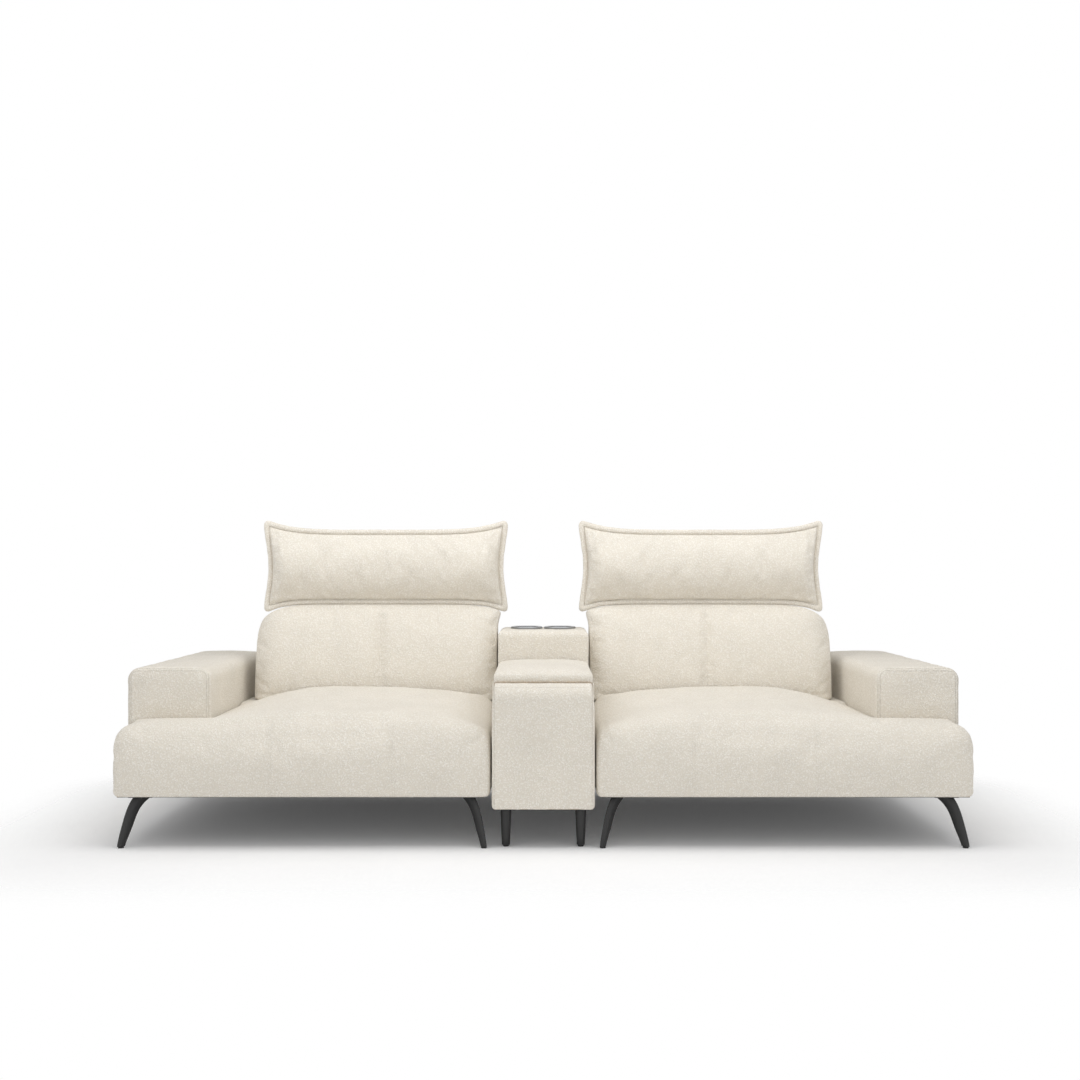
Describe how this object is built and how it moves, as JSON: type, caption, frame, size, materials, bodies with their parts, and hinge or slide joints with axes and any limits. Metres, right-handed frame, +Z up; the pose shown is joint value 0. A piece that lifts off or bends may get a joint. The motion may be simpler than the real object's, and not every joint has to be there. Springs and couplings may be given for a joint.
{
  "type": "sofa with console",
  "caption": "Upholstered sofa in boucle: seat units with wide low arms and folding headrests, joined by a storage console with a lift-up lid and cup holders, on black metal legs.",
  "frame": {"origin": "on the floor under the middle of the sofa", "axes": "+X along the sofa to the right as seen from the front, -Y to the front, +Z up"},
  "size_m": [2.74, 1.04, 1.059],
  "materials": {
    "boucle": "cream boucle weave",
    "timber": "sawn",
    "webbing": "woven elastic",
    "lining": "non-woven",
    "blackened_steel": "satin",
    "zinc_steel": "bright zinc",
    "cup_steel": "brushed",
    "tub_plastic": "matte",
    "glide_plastic": "matte",
    "black_metal": "satin powder coat"
  },
  "bodies": {
    "root": {"left_base_frame": "timber", "left_seat_webbing": "webbing", "left_dust_cover": "lining", "left_seat_cushion": "boucle", "left_arm_frame": "timber", "left_arm_pad": "boucle", "left_back_frame": "timber", "left_outer_back": "boucle", "left_back_cushion": "boucle", "left_ratchet_brackets": "blackened_steel", "left_ratchet_pins": "zinc_steel", "left_front_outer_leg": "black_metal", "left_front_inner_leg": "black_metal", "left_rear_outer_leg": "black_metal", "left_rear_inner_leg": "black_metal", "right_base_frame": "timber", "right_seat_webbing": "webbing", "right_dust_cover": "lining", "right_seat_cushion": "boucle", "right_arm_frame": "timber", "right_arm_pad": "boucle", "right_back_frame": "timber", "right_outer_back": "boucle", "right_back_cushion": "boucle", "right_ratchet_brackets": "blackened_steel", "right_ratchet_pins": "zinc_steel", "right_front_outer_leg": "black_metal", "right_front_inner_leg": "black_metal", "right_rear_outer_leg": "black_metal", "right_rear_inner_leg": "black_metal", "console_carcass": "timber", "console_front_panel": "boucle", "console_left_side": "boucle", "console_right_side": "boucle", "console_rear_panel": "boucle", "console_dust_cover": "lining", "storage_tub": "tub_plastic", "fixed_hinge_leaves": "blackened_steel", "lid_hinge_pins": "zinc_steel", "cup_block": "boucle", "left_cup_holder": "cup_steel", "right_cup_holder": "cup_steel", "console_front_left_leg": "black_metal", "console_front_right_leg": "black_metal", "console_rear_left_leg": "black_metal", "console_rear_right_leg": "black_metal", "leg_glides": "glide_plastic", "leg_screws": "zinc_steel", "unit_bolts": "zinc_steel"},
    "left_headrest": {"left_headrest_cushion": "boucle", "left_headrest_board": "timber", "left_ratchet_arms": "blackened_steel"},
    "right_headrest": {"right_headrest_cushion": "boucle", "right_headrest_board": "timber", "right_ratchet_arms": "blackened_steel"},
    "console_lid": {"lid_board": "timber", "lid_pad": "boucle", "lid_hinge_leaves": "blackened_steel"}
  },
  "joints": [
    {"name": "left_headrest_fold", "type": "hinge", "parent": "root", "child": "left_headrest", "pos_m": [-0.584, 0.303, 0.763], "axis": [-1, 0, 0], "range_deg": [0, 85]},
    {"name": "right_headrest_fold", "type": "hinge", "parent": "root", "child": "right_headrest", "pos_m": [0.584, 0.303, 0.763], "axis": [-1, 0, 0], "range_deg": [0, 85]},
    {"name": "lid_open", "type": "hinge", "parent": "root", "child": "console_lid", "pos_m": [0, 0.05, 0.548], "axis": [-1, 0, 0], "range_deg": [0, 80]}
  ]
}
